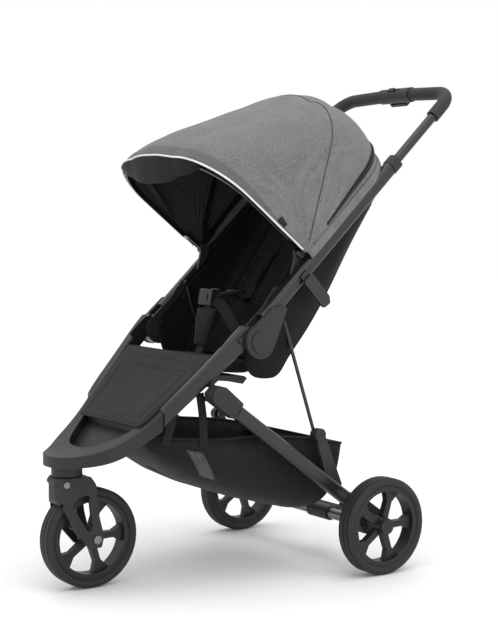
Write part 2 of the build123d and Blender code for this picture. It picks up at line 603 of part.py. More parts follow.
VISOR_L = 46.0
VISOR_WELT_R = 1.5
visor_root = polar(polar(CANOPY_PIVOT, 141.5, 280.0), 231.5, 7.0)
visor_flap = slab([visor_root, polar(visor_root, 231.5, 3), (visor_root[0] + 2, visor_root[1] - VISOR_L),
                   (visor_root[0] + 5, visor_root[1] - VISOR_L)], -140, 140)
add("canopy_visor", visor_flap + disc(visor_root, -140, 140, VISOR_WELT_R))

# ---- basket: open-topped shell with a closed solid wall ----
basket_rim = [(-446, 292), (-345, 284), (-236, 282), (-115, 268), (-30, 250)]
basket_hoops = [(-446, 102, 262), (-400, 122, 228), (-353, 145, 198), (-297, 158, 171),
                (-210, 158, 140), (-100, 158, 110), (-30, 158, 102)]


def basket_hull(inset):
    """Sagging trough lofted through round-bottomed hoops, open-ended at the top."""
    hoops = []
    for i, (y, half, low) in enumerate(basket_hoops):
        step = inset if i == 0 else (-inset if i == len(basket_hoops) - 1 else 0.0)
        face = rounded([(-half + inset, 420), (-half + inset, low + inset),
                        (half - inset, low + inset), (half - inset, 420)], 46)
        hoops.append(Plane.XZ.offset(-(y + step)) * face)
    return loft(hoops, ruled=True)


def basket_cut(inset, top):
    """Side outline of the basket with its sloping rear wall."""
    rim = [(y, z + top) for y, z in basket_rim]
    rim[-1] = (rim[-1][0] - inset, rim[-1][1])
    return slab(rim + [(-60 - inset, 60), (-446, 60)], -200, 200)


basket = basket_hull(0.0) & basket_cut(0.0, 0.0)
basket -= basket_hull(FABRIC) & basket_cut(FABRIC + 1, 40.0)
add("basket", basket)

# ---- move everything so the origin is under the middle of the footprint ----
whole = Compound(list(parts.values())).bounding_box()
ORIGIN_Y = (whole.min.Y + whole.max.Y) / 2
ORIGIN_Z = whole.min.Z
if __name__ == "__main__":
    os.makedirs("parts", exist_ok=True)
    print("origin shift", round(ORIGIN_Y, 3), round(ORIGIN_Z, 3), len(parts), "nodes")
    for node, shape in parts.items():
        export_step(Pos(0, -ORIGIN_Y, -ORIGIN_Z) * shape, "parts/%s.step" % node)
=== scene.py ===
import bmesh
import bpy
import json
from math import atan2, cos, hypot, pi, radians, sin, sqrt
from mathutils import Euler, Matrix, Vector, noise


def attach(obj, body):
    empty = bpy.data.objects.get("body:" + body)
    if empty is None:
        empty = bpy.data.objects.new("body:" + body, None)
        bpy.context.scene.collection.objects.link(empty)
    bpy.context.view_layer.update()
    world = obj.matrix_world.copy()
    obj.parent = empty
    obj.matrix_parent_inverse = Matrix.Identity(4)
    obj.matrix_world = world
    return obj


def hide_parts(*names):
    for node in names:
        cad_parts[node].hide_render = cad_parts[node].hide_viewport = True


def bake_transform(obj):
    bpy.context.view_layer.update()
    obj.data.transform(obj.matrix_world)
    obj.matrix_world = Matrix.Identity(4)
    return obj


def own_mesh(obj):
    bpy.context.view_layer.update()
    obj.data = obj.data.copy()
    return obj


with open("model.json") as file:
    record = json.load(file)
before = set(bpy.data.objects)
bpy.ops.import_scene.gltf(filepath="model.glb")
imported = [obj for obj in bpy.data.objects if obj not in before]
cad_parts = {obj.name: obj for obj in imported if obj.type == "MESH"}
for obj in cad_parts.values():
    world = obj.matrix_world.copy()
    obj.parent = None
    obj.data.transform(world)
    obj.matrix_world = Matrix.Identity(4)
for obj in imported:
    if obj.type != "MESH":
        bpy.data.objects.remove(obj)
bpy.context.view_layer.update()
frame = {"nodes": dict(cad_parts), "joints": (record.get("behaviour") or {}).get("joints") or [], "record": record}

record = frame["record"]
joints = {j["name"]: j for j in frame["joints"]}
nodes = frame["nodes"]

# ---- places read from the frame: millimetres from the rear axle line and the ground ----
AXLE_Y = joints["rear_wheel_left_spin"]["pos_m"][1]


def at(x, y, z):
    """Row-frame point, in metres, from millimetres about the rear axle line."""
    return Vector((x / 1000, AXLE_Y + y / 1000, z / 1000))


def joint_side(name):
    x, y, z = joints[name]["pos_m"]
    return (y - AXLE_Y) * 1000, z * 1000


HINGE = joint_side("fold")
PIVOT = joint_side("canopy_fold")
BITE = joint_side("recline")
SLOPE = joints["handle_slide"]["axis"]
RAIL = (SLOPE[1], SLOPE[2])
UP = (-SLOPE[2], SLOPE[1])


def along(distance, offset=0.0):
    """Side point along the rails from the hinge and above it."""
    return (HINGE[0] + distance * RAIL[0] + offset * UP[0],
            HINGE[1] + distance * RAIL[1] + offset * UP[1])


def mix(a, b, t):
    return a + (b - a) * t


def bell(x):
    """Soft bump: 1 at zero, near 0 from 2 on."""
    return 2.718 ** (-x ** 2)


def catmull(values, t):
    """Smooth value through a list of numbers, t from 0 to 1."""
    last = len(values) - 1
    place = min(max(t, 0.0), 1.0) * last
    i = min(int(place), last - 1)
    u = place - i
    p1, p2 = values[i], values[i + 1]
    p0 = values[i - 1] if i else 2 * p1 - p2
    p3 = values[i + 2] if i + 2 <= last else 2 * p2 - p1
    return 0.5 * (2 * p1 + (p2 - p0) * u + (2 * p0 - 5 * p1 + 4 * p2 - p3) * u * u
                  + (3 * p1 - p0 - 3 * p2 + p3) * u * u * u)


# ---- mesh helpers ----
def new_object(name, verts, faces, material, smooth=True):
    mesh = bpy.data.meshes.new(name)
    mesh.from_pydata([tuple(v) for v in verts], [], faces)
    mesh.validate()
    for poly in mesh.polygons:
        poly.use_smooth = smooth
    obj = bpy.data.objects.new(name, mesh)
    bpy.context.scene.collection.objects.link(obj)
    if material is not None:
        mesh.materials.append(material)
    return obj


def apply_modifiers(obj):
    bpy.context.view_layer.update()
    graph = bpy.context.evaluated_depsgraph_get()
    mesh = bpy.data.meshes.new_from_object(obj.evaluated_get(graph))
    obj.modifiers.clear()
    old = obj.data
    obj.data = mesh
    bpy.data.meshes.remove(old)
    return obj


def recalc(obj):
    bm = bmesh.new()
    bm.from_mesh(obj.data)
    bmesh.ops.recalc_face_normals(bm, faces=bm.faces)
    bm.to_mesh(obj.data)
    bm.free()
    return obj


def grid_faces(rows, cols, close_rows=False, close_cols=False):
    faces = []
    for i in range(rows if close_rows else rows - 1):
        for j in range(cols if close_cols else cols - 1):
            a, b = i * cols + j, i * cols + (j + 1) % cols
            c, d = ((i + 1) % rows) * cols + (j + 1) % cols, ((i + 1) % rows) * cols + j
            faces.append((a, b, c, d))
    return faces


def grid_object(name, rows, material):
    """Surface through rows of points, all rows the same length."""
    verts = [p for row in rows for p in row]
    return new_object(name, verts, grid_faces(len(rows), len(rows[0])), material)


def thicken(obj, thickness, offset=-1.0, inner=None):
    """Gives a sheet its cloth thickness; the second side may have its own material."""
    solid = obj.modifiers.new("thickness", "SOLIDIFY")
    solid.thickness = thickness
    solid.offset = offset
    solid.use_even_offset = False
    if inner is not None:
        obj.data.materials.append(inner)
        solid.material_offset = 1
    return apply_modifiers(obj)


def subdivide(obj, levels=1):
    sub = obj.modifiers.new("smooth", "SUBSURF")
    sub.levels = levels
    sub.render_levels = levels
    apply_modifiers(obj)
    for poly in obj.data.polygons:
        poly.use_smooth = True
    return obj


def path_frames(points, up=Vector((0, 0, 1)), closed=False):
    count = len(points)
    frames = []
    for i, p in enumerate(points):
        if closed:
            tangent = points[(i + 1) % count] - points[i - 1]
        else:
            tangent = points[min(i + 1, count - 1)] - points[max(i - 1, 0)]
        tangent.normalize()
        side = tangent.cross(up)
        if side.length < 1e-5:
            side = tangent.cross(Vector((1, 0, 0)))
        side.normalize()
        frames.append((tangent, side, side.cross(tangent).normalized()))
    return frames


def tube(name, points, radius, material, sides=10, closed=False, flat=1.0, up=Vector((0, 0, 1))):
    """Round or flattened cord along points, in metres, with closed ends."""
    verts = []
    for p, (_, side, rise) in zip(points, path_frames(points, up, closed)):
        for k in range(sides):
            a = 2 * pi * k / sides
            verts.append(p + side * radius * cos(a) + rise * radius * flat * sin(a))
    faces = grid_faces(len(points), sides, closed, True)
    if not closed:
        faces.append(tuple(range(sides)))
        last = (len(points) - 1) * sides
        faces.append(tuple(last + k for k in reversed(range(sides))))
    return recalc(new_object(name, verts, faces, material))


def ribbon(name, points, normals, width, thickness, material):
    """Flat webbing: rounded rectangle section swept along points, normals giving its face."""
    verts = []
    count = len(points)
    outline = []
    for k in range(16):
        a = 2 * pi * (k + 0.5) / 16
        ca, sa = cos(a), sin(a)
        outline.append((abs(ca) ** 0.45 * (1 if ca > 0 else -1),
                        abs(sa) ** 0.8 * (1 if sa > 0 else -1)))
    for i, (p, n) in enumerate(zip(points, normals)):
        tangent = points[min(i + 1, count - 1)] - points[max(i - 1, 0)]
        side = tangent.cross(n).normalized()
        face = side.cross(tangent).normalized()
        for u, v in outline:
            verts.append(p + side * u * width / 2 + face * v * thickness / 2)
    faces = grid_faces(count, 16, False, True)
    faces.append(tuple(range(16)))
    faces.append(tuple((count - 1) * 16 + k for k in reversed(range(16))))
    return recalc(new_object(name, verts, faces, material))


def smooth_path(points, count):
    """Evenly stepped points on a smooth curve through the given ones."""
    out = []
    for k in range(count):
        t = k / (count - 1)
        out.append(Vector([catmull([p[axis] for p in points], t) for axis in range(3)]))
    return out


def rounded_loop(half_w, half_h, radius, per_corner=8):
    """Rounded rectangle as (u, v) points, anticlockwise."""
    points = []
    for cx, cy, start in ((1, 1, 0), (-1, 1, 90), (-1, -1, 180), (1, -1, 270)):
        for k in range(per_corner + 1):
            a = radians(start + 90 * k / per_corner)
            points.append((cx * (half_w - radius) + radius * cos(a),
                           cy * (half_h - radius) + radius * sin(a)))
    return points


def mirrored(obj, name):
    copy = bpy.data.objects.new(name, obj.data.copy())
    bpy.context.scene.collection.objects.link(copy)
    copy.data.transform(Matrix.Diagonal((-1, 1, 1, 1)))
    copy.data.flip_normals()
    return copy


# ---- materials ----
def rgb(level, tint=(1.0, 1.0, 1.0)):
    """Colour of a display level from 0 to 255, as linear light."""
    value = (level / 255.0) ** 2.2
    return (value * tint[0], value * tint[1], value * tint[2], 1.0)


class Nodes:
    """Small builder for one material's nodes."""

    def __init__(self, name):
        self.material = bpy.data.materials.new(name)
        self.material.use_nodes = True
        self.tree = self.material.node_tree
        self.shader = self.tree.nodes["Principled BSDF"]
        self.coord = self.tree.nodes.new("ShaderNodeTexCoord")

    def add(self, kind, inputs=(), **settings):
        node = self.tree.nodes.new(kind)
        for key, value in settings.items():
            setattr(node, key, value)
        for key, value in dict(inputs).items():
            self.set(node, key, value)
        return node

    def set(self, node, key, value):
        socket = node.inputs[key]
        if isinstance(value, bpy.types.NodeSocket):
            self.tree.links.new(value, socket)
        else:
            socket.default_value = value

    def position(self, scale=(1, 1, 1), turn=(0, 0, 0)):
        mapping = self.add("ShaderNodeMapping", {"Vector": self.coord.outputs["Object"]})
        mapping.inputs["Scale"].default_value = scale
        mapping.inputs["Rotation"].default_value = turn
        return mapping.outputs["Vector"]

    def noise(self, scale, detail=2.0, where=None, rough=0.5):
        node = self.add("ShaderNodeTexNoise", {"Scale": scale, "Detail": detail, "Roughness": rough})
        self.set(node, "Vector", where if where is not None else self.coord.outputs["Object"])
        return node.outputs["Fac"]

    def ramp(self, factor, stops):
        node = self.add("ShaderNodeValToRGB", {"Fac": factor})
        ramp = node.color_ramp
        while len(ramp.elements) < len(stops):
            ramp.elements.new(0.5)
        for element, (place, colour) in zip(ramp.elements, stops):
            element.position = place
            element.color = colour
        return node.outputs["Color"]

    def math(self, operation, a, b=0.0):
        node = self.add("ShaderNodeMath", operation=operation)
        self.set(node, 0, a)
        self.set(node, 1, b)
        return node.outputs[0]

    def mix(self, factor, a, b):
        node = self.add("ShaderNodeMix", data_type="RGBA")
        self.set(node, 0, factor)
        self.set(node, 6, a)
        self.set(node, 7, b)
        return node.outputs[2]

    def bump(self, height, strength, distance=0.001, normal=None):
        node = self.add("ShaderNodeBump", {"Height": height, "Strength": strength,
                                           "Distance": distance})
        if normal is not None:
            self.set(node, "Normal", normal)
        return node.outputs["Normal"]

    def edges(self, radius=0.0015):
        """Near 1 on convex edges, 0 on flats."""
        bevel = self.add("ShaderNodeBevel", {"Radius": radius}, samples=4)
        geometry = self.add("ShaderNodeNewGeometry")
        dot = self.add("ShaderNodeVectorMath", operation="DOT_PRODUCT")
        self.set(dot, 0, bevel.outputs["Normal"])
        self.set(dot, 1, geometry.outputs["Normal"])
        drop = self.math("SUBTRACT", 1.0, dot.outputs["Value"])
        return self.math("MINIMUM", self.math("MULTIPLY", drop, 6.0), 1.0)

    def finish(self, color, roughness, normal=None, metallic=0.0, **extra):
        self.set(self.shader, "Base Color", color)
        self.set(self.shader, "Roughness", roughness)
        self.shader.inputs["Metallic"].default_value = metallic
        if normal is not None:
            self.set(self.shader, "Normal", normal)
        for key, value in extra.items():
            self.shader.inputs[key.replace("_", " ")].default_value = value
        return self.material


def plastic(name, level, tint=(1, 1, 1.06), rough=0.45, grain=900.0, worn=12, strength=0.12):
    """Moulded plastic: fine grain, slightly varied tone, paler worn edges."""
    n = Nodes(name)
    tone = n.noise(14.0, 3.0)
    low, high = rgb(level * 0.93, tint), rgb(level * 1.08, tint)
    base = n.ramp(tone, [(0.35, low), (0.65, high)])
    wear = n.math("MULTIPLY", n.edges(), n.noise(60.0, 3.0))
    color = n.mix(wear, base, rgb(level + worn * 2, tint))
    shine = n.add("ShaderNodeMapRange", {"Value": n.noise(30.0, 4.0), "To Min": rough - 0.05,
                                         "To Max": rough + 0.08})
    fine = n.noise(grain, 2.0)
    return n.finish(color, shine.outputs["Result"], n.bump(fine, strength, 0.0004),
                    Specular_IOR_Level=0.32)


def paint(name, level, tint=(1, 1, 1.04), rough=0.32, metallic=0.0, coat=0.25):
    """Satin powder coat over metal, with faint orange peel and rubbed edges."""
    n = Nodes(name)
    tone = n.noise(9.0, 2.0)
    base = n.ramp(tone, [(0.3, rgb(level * 0.94, tint)), (0.7, rgb(level * 1.06, tint))])
    wear = n.math("MULTIPLY", n.edges(0.001), n.noise(90.0, 4.0))
    color = n.mix(wear, base, rgb(level + 26, tint))
    shine = n.add("ShaderNodeMapRange", {"Value": n.noise(45.0, 4.0), "To Min": rough - 0.04,
                                         "To Max": rough + 0.08})
    normal = n.bump(n.noise(500.0, 2.0), 0.06, 0.0004)
    return n.finish(color, shine.outputs["Result"], normal, metallic, Coat_Weight=coat,
                    Coat_Roughness=0.25)


def steel(name, level=125, rough=0.32):
    n = Nodes(name)
    streak = n.noise(240.0, 3.0, n.position((12.0, 1.0, 1.0)))
    color = n.ramp(streak, [(0.3, rgb(level * 0.85)), (0.7, rgb(level * 1.15))])
    shine = n.add("ShaderNodeMapRange", {"Value": streak, "To Min": rough, "To Max": rough + 0.2})
    return n.finish(color, shine.outputs["Result"], n.bump(streak, 0.1, 0.0003), 1.0)


def rubber(name, level=38, grain=450.0, rough=0.72, tint=(1, 1, 1)):
    """Tyre or grip rubber with dust in its pores."""
    n = Nodes(name)
    dust = n.noise(70.0, 5.0, rough=0.7)
    color = n.ramp(dust, [(0.3, rgb(level * 0.85, tint)), (0.75, rgb(level * 1.25, tint))])
    shine = n.add("ShaderNodeMapRange", {"Value": dust, "To Min": rough - 0.12,
                                         "To Max": rough + 0.08})
    normal = n.bump(n.noise(grain, 3.0), 0.25, 0.0005)
    return n.finish(color, shine.outputs["Result"], normal)


def cloth(name, low, high, weave=0.0011, melange=0.0, tint=(1, 1, 1), rough=0.85, sheen=0.25,
          bump=0.35, turn=(0.0, 0.0, 0.0)):
    """Woven fabric: crossed yarns, uneven tone and, for melange, flecks of both shades."""
    n = Nodes(name)
    where = n.position(turn=turn)
    threads = 1 / weave
    yarn = []
    for direction in ("X", "Y", "Z"):
        wave = n.add("ShaderNodeTexWave", {"Vector": where, "Scale": threads * 0.32,
                                           "Distortion": 1.2, "Detail": 2.0, "Detail Scale": 1.5},
                     bands_direction=direction)
        yarn.append(wave.outputs["Fac"])
    woven = n.math("MULTIPLY", n.math("ADD", n.math("ADD", yarn[0], yarn[1]), yarn[2]), 0.333)
    patch = n.noise(22.0, 4.0)
    tone = n.math("ADD", n.math("MULTIPLY", patch, 0.55), n.math("MULTIPLY", woven, 0.45))
    base = n.ramp(tone, [(0.3, rgb(low, tint)), (0.7, rgb(high, tint))])
    if melange:
        fleck = n.noise(520.0, 3.0, n.position((1.0, 1.0, 0.45), turn), 0.75)
        light = n.ramp(fleck, [(0.42, (0, 0, 0, 1)), (0.62, (1, 1, 1, 1))])
        dark = n.ramp(n.noise(610.0, 3.0, n.position((0.45, 1.0, 1.0), turn), 0.75),
                      [(0.5, (0, 0, 0, 1)), (0.66, (1, 1, 1, 1))])
        base = n.mix(n.math("MULTIPLY", light, melange), base, rgb(high * 1.22, tint))
        base = n.mix(n.math("MULTIPLY", dark, melange), base, rgb(low * 0.72, tint))
    shine = n.add("ShaderNodeMapRange", {"Value": woven, "To Min": rough + 0.08,
                                         "To Max": rough - 0.08})
    creases = n.bump(n.noise(28.0, 3.0), 0.18, 0.004)
    normal = n.bump(woven, bump, 0.0006, creases)
    return n.finish(base, shine.outputs["Result"], normal, Sheen_Weight=sheen * 0.2,
                    Sheen_Roughness=0.5, Specular_IOR_Level=0.2)


M = {
    "frame": paint("frame_paint", 30, coat=0.1),
    "tube": paint("tube_black", 24, rough=0.3, coat=0.1),
    "strut": paint("strut_rod", 34, rough=0.3, coat=0.1),
    "nose": plastic("nose_moulding", 42, tint=(0.98, 1, 1.1), rough=0.5),
    "hinge": plastic("hinge_moulding", 44, tint=(0.98, 1, 1.1), rough=0.48),
    "rim": plastic("rim_moulding", 36, rough=0.46),
    "gloss": plastic("buckle_moulding", 28, rough=0.28, strength=0.05),
    "tyre": rubber("tyre_rubber", 30),
    "grip": rubber("grip_foam", 34, grain=900.0, rough=0.66),
    "steel": steel("axle_steel"),
    "canopy": cloth("canopy_melange", 92, 116, melange=0.55, rough=0.9, sheen=0.35, bump=0.3),
    "lining": cloth("canopy_lining", 50, 66, melange=0.4, rough=0.9),
    "binding": cloth("canopy_binding", 84, 100, melange=0.3, weave=0.0016),
    "seat": cloth("seat_fabric", 17, 25, weave=0.0013, rough=0.8, sheen=0.3),
    "back": cloth("back_cover", 18, 27, weave=0.0014, rough=0.82),
    "panel": cloth("calf_fabric", 30, 38, weave=0.0016, rough=0.72, sheen=0.3, tint=(1, 1, 1.04)),
    "basket": cloth("basket_fabric", 21, 30, weave=0.0012, rough=0.7, tint=(1, 0.99, 0.97)),
    "webbing": cloth("webbing_weave", 22, 34, weave=0.0022, rough=0.7, bump=0.6),
    "visor": cloth("visor_fabric", 22, 30, weave=0.0012, rough=0.75),
    "piping": cloth("piping_reflective", 205, 228, weave=0.0009, rough=0.45, bump=0.15),
    "thread": cloth("seam_thread", 56, 72, weave=0.0008, rough=0.7),
    "zip": cloth("zip_tape", 28, 40, weave=0.001, rough=0.6),
}
slot_looks = {
    "frame_dark": "frame", "tube_black": "tube", "nose_plastic": "nose", "hinge_plastic": "hinge",
    "rim_plastic": "rim", "tyre": "tyre", "grip": "grip", "steel": "steel",
    "strut_metal": "strut", "canopy_cloth": "canopy", "seat_cloth": "seat",
    "panel_cloth": "panel", "basket_cloth": "basket", "webbing": "webbing",
    "visor_cloth": "visor", "buckle_plastic": "gloss", "board": "back",
}
node_slot = {s["node"]: s["material_slot"] for s in record["subparts"]}
for node_name, obj in nodes.items():
    obj.data.materials.clear()
    obj.data.materials.append(M[slot_looks[node_slot[node_name]]])

# ---- camera ----
camera_data = bpy.data.cameras.new("camera")
camera = bpy.data.objects.new("camera", camera_data)
bpy.context.scene.collection.objects.link(camera)
camera_data.sensor_fit = "VERTICAL"
camera_data.sensor_height = 24.0
camera_data.lens = 1436.9 / 644 * 24.0
camera.location = at(2360.89, -1803.29, 713.86)
YAW, PITCH = radians(54.919), radians(4.545)
camera.rotation_euler = Euler((pi / 2 - PITCH, 0, YAW), "XYZ")
camera_data.clip_start = 0.05
camera_data.clip_end = 60.0
bpy.context.scene.camera = camera

# ---- floor and light ----
floor_mat = Nodes("studio_floor")
soft = floor_mat.noise(1.3, 2.0)
floor_color = floor_mat.ramp(soft, [(0.3, (0.87, 0.87, 0.875, 1)), (0.7, (0.89, 0.89, 0.89, 1))])
floor_mat.finish(floor_color, 0.7)
ground = []
for gy in range(13):
    ground.append([Vector((-9 + 1.5 * gx, -9 + 1.5 * gy, -0.0004)) for gx in range(13)])
floor = grid_object("studio_floor", ground, floor_mat.material)

world = bpy.data.worlds.new("studio")
bpy.context.scene.world = world
world.use_nodes = True
world.node_tree.nodes["Background"].inputs["Color"].default_value = (1.0, 1.0, 1.0, 1.0)
world.node_tree.nodes["Background"].inputs["Strength"].default_value = 1.0
bpy.context.scene.view_settings.view_transform = "Standard"


def softbox(name, place, aim, size, power):
    data = bpy.data.lights.new(name, "AREA")
    data.shape = "RECTANGLE"
    data.size, data.size_y = size
    data.energy = power
    lamp = bpy.data.objects.new(name, data)
    bpy.context.scene.collection.objects.link(lamp)
    lamp.location = place
    lamp.rotation_euler = (Vector(aim) - Vector(place)).to_track_quat("-Z", "Y").to_euler()


sky = bpy.data.lights.new("sky_panel", "SUN")
sky.energy = 0.75
sky.angle = radians(70)
sky_lamp = bpy.data.objects.new("sky_panel", sky)
bpy.context.scene.collection.objects.link(sky_lamp)
sky_lamp.rotation_euler = (radians(8), radians(10), 0)
softbox("top_box", (0.2, 0.0, 2.9), (0, 0, 0.3), (2.2, 2.2), 12)
softbox("side_box", (2.6, 0.9, 1.5), (0, 0, 0.5), (1.0, 1.8), 9)
softbox("front_box", (0.4, -3.0, 1.4), (0, 0, 0.5), (1.6, 1.2), 5)

# ---- soft parts: simulation ----
scene = bpy.context.scene


def puff(obj, voxel=0.005, pressure=4.0, cap=0.006, frames=20):
    """Remeshes a closed form and lets cloth pressure round it, no point moving past the cap."""
    remesh = obj.modifiers.new("remesh", "REMESH")
    remesh.mode = "VOXEL"
    remesh.voxel_size = voxel
    apply_modifiers(obj)
    rest = [v.co.copy() for v in obj.data.vertices]
    cloth_mod = obj.modifiers.new("cloth", "CLOTH")
    settings = cloth_mod.settings
    settings.quality = 5
    settings.mass = 0.3
    settings.use_pressure = True
    settings.uniform_pressure_force = pressure
    settings.effector_weights.gravity = 0.0
    cloth_mod.point_cache.frame_start = 1
    cloth_mod.point_cache.frame_end = frames
    for step in range(1, frames + 1):
        scene.frame_set(step)
    apply_modifiers(obj)
    scene.frame_set(1)
    for v, r in zip(obj.data.vertices, rest):
        move = v.co - r
        if move.length > cap:
            v.co = r + move * (cap / move.length)
    smooth = obj.modifiers.new("ease", "SMOOTH")
    smooth.factor = 0.5
    smooth.iterations = 3
    return subdivide(obj)


END_POWER, EDGE_POWER, CORNER_POWER = 6, 3.2, 8
CORNER_PULL, WAIST_PULL = 0.06, 0.02


def cushion(name, place, half_w, length, thick, material, taper=1.0):
    """Rounded pad in local axes: across, along and out of its face; place maps them to the row."""
    cols, rows = 28, 40
    verts = []
    for i in range(rows + 1):
        v = -1 + 2 * i / rows
        for side in (1, -1):
            for j in range(cols + 1):
                u = side * (-1 + 2 * j / cols)
                wide = half_w * mix(1.0, taper, (v + 1) / 2)
                corner = (1 - abs(v) ** CORNER_POWER) ** 0.5 if abs(v) < 1 else 0.0
                edge = (1 - abs(u) ** EDGE_POWER) ** 0.5 if abs(u) < 1 else 0.0
                lift = thick / 2 * edge * (1 - abs(v) ** END_POWER) ** 0.5 * side
                pull = 1 - WAIST_PULL * (1 - abs(v) ** 2)
                across = u * wide * pull * (1 - CORNER_PULL + CORNER_PULL * corner)
                verts.append(place(across, (v + 1) / 2 * length, lift))
    ring = 2 * (cols + 1)
    faces = grid_faces(rows + 1, ring, False, True)
    faces.append(tuple(range(ring)))
    faces.append(tuple(rows * ring + k for k in reversed(range(ring))))
    obj = recalc(new_object(name, verts, faces, material))
    merge = bmesh.new()
    merge.from_mesh(obj.data)
    bmesh.ops.remove_doubles(merge, verts=merge.verts, dist=0.0002)
    merge.to_mesh(obj.data)
    merge.free()
    return obj


def pinch(obj, measure, seams, depth, width):
    """Presses sewn channels into a pad: measure(co) gives (a, b, outward) for a point."""
    for v in obj.data.vertices:
        a, b, outward = measure(v.co)
        if outward is None:
            continue
        press = 0.0
        for seam in seams:
            press = max(press, bell(seam(a, b) / width))
        v.co -= outward * press * depth / 1000
    obj.data.update()


# ---- hood ----
HOOD_HALF = 190.0
HOOD_START = 3.0
# Each rib: angle about the pivot in degrees, height, corner radius and crown in mm.
HOOD_RIBS = [(141.5, 289.0, 114.0, 10.0), (112.0, 262.0, 98.0, 12.0), (90.0, 273.0, 96.0, 15.0),
             (74.0, 305.0, 100.0, 21.0), (60.0, 314.0, 100.0, 32.0), (43.0, 292.0, 90.0, 16.0)]
# Shares of the half width of cloth where the corner starts and ends.
HOOD_LEG, HOOD_CORNER = 0.40, 0.64
MIDDLE_RIB = 0.6
HOOD_SAG, HOOD_WAVE, HOOD_GATHER = 3.0, 1.6, 1.1


def hood(v, s, out=0.0):
    """Point on the hood: v from front rib to rear rib, s from the left pivot over to the right."""
    angle, height, corner, crown = [catmull(col, v) for col in zip(*HOOD_RIBS)]
    t = 2 * s if s <= 0.5 else 2 * (1 - s)
    sign = 1 if s <= 0.5 else -1
    side = height - corner
    if t < HOOD_LEG:
        h = mix(HOOD_START, side, t / HOOD_LEG)
        x, nx, nh = HOOD_HALF, 1.0, 0.0
    elif t < HOOD_CORNER:
        a = (t - HOOD_LEG) / (HOOD_CORNER - HOOD_LEG) * pi / 2
        nx, nh = cos(a), sin(a)
        x, h = HOOD_HALF - corner + corner * nx, side + corner * nh
    else:
        u = (t - HOOD_CORNER) / (1 - HOOD_CORNER)
        reach = HOOD_HALF - corner
        x, nx, nh = reach * (1 - u), 0.0, 1.0
        h = height + crown * (1 - (1 - u) ** 2)
    sag = 0.0
    if v < MIDDLE_RIB:
        sag = HOOD_SAG * sin(pi * v / MIDDLE_RIB) ** 2 * min(t / 0.5, 1.0)
    drift = noise.noise(Vector((v * 5, s * 9, 0.3))) * HOOD_WAVE * min(1, t * 4)
    drift += HOOD_GATHER * sin(angle * 0.9) * max(0.0, 1 - t / 0.35) * min(1, t * 8)
    grow = out - sag + drift
    x += nx * grow
    h += nh * grow
    return at(sign * x, PIVOT[0] + h * cos(radians(angle)), PIVOT[1] + h * sin(radians(angle)))


def hood_patch(name, v0, v1, s0, s1, rows, cols, out, material, thickness, inner=None):
    rows_of = []
    for i in range(rows + 1):
        v = mix(v0, v1, i / rows)
        rows_of.append([hood(v, mix(s0, s1, j / cols), out) for j in range(cols + 1)])
    obj = grid_object(name, rows_of, material)
    middle = obj.data.polygons[(rows // 2) * cols + cols // 2]
    if middle.normal.z < 0:
        obj.data.flip_normals()
    return thicken(obj, thickness / 1000, -1.0, inner)


def hood_line(name, v, s0, s1, count, out, radius, material, sides=8):
    points = [hood(v, mix(s0, s1, k / count), out) for k in range(count + 1)]
    return tube(name, points, radius / 1000, material, sides)


canopy = hood_patch("hood_cloth", 0.0, 1.0, 0.0, 1.0, 84, 150, 0.0, M["canopy"], 2.2, M["lining"])
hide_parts("canopy_fabric")
band = hood_patch("hood_front_band", 0.0, 0.035, 0.01, 0.99, 4, 150, 0.8, M["binding"], 1.4)
piping = hood_line("hood_piping", -0.004, 0.01, 0.99, 150, 0.2, 2.0, M["piping"])
zip_band = hood_patch("hood_zip_tape", 0.93, 0.965, 0.07, 0.93, 3, 150, 1.2, M["zip"], 1.6)
zip_teeth = hood_line("hood_zip_coil", 0.9475, 0.07, 0.93, 150, 2.0, 1.4, M["gloss"])
seam_mid = hood_line("hood_middle_seam", MIDDLE_RIB, 0.02, 0.98, 150, 0.5, 0.9, M["thread"], 6)
seam_rear = hood_line("hood_rear_hem", 0.998, 0.02, 0.98, 150, 0.0, 1.8, M["binding"], 8)
tag = hood_patch("hood_blank_tag", 0.022, 0.075, 0.082, 0.106, 3, 4, 1.6, M["zip"], 1.2)
inner_rows = []
for i in range(9):
    row = []
    for j in range(121):
        s = mix(0.1, 0.9, j / 120)
        depth = 5 + 34.0 * (i / 8) * min(1.0, 6 * min(j / 120, 1 - j / 120) + 0.15)
        row.append(hood(0.03 + 0.012 * i / 8, s, -depth))
    inner_rows.append(row)
inner_band = thicken(grid_object("hood_inner_band", inner_rows, M["visor"]), 0.0016, 0.0)
skirts = []
for side_name, flip in (("left", False), ("right", True)):
    rows_of = []
    for i in range(9):
        row = []
        for j in range(41):
            q = j / 40
            s = mix(0.0, 0.30, q)
            drop = 17.0 * (i / 8) * (1 - max(0.0, (q - 0.75) / 0.25) ** 2)
            p = hood(0.997, 1 - s if flip else s, 0.0)
            p -= Vector((0, UP[0], UP[1])) * drop / 1000
            p.x += (-1 if flip else 1) * 0.0015 * sin(pi * i / 8)
            row.append(p)
        rows_of.append(row)
    skirts.append(thicken(grid_object("hood_skirt_" + side_name, rows_of, M["canopy"]), 0.002,
                          0.0))
hood_trims = [band, piping, zip_band, zip_teeth, seam_mid, seam_rear, tag, inner_band] + skirts
for piece in [canopy] + hood_trims:
    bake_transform(piece)

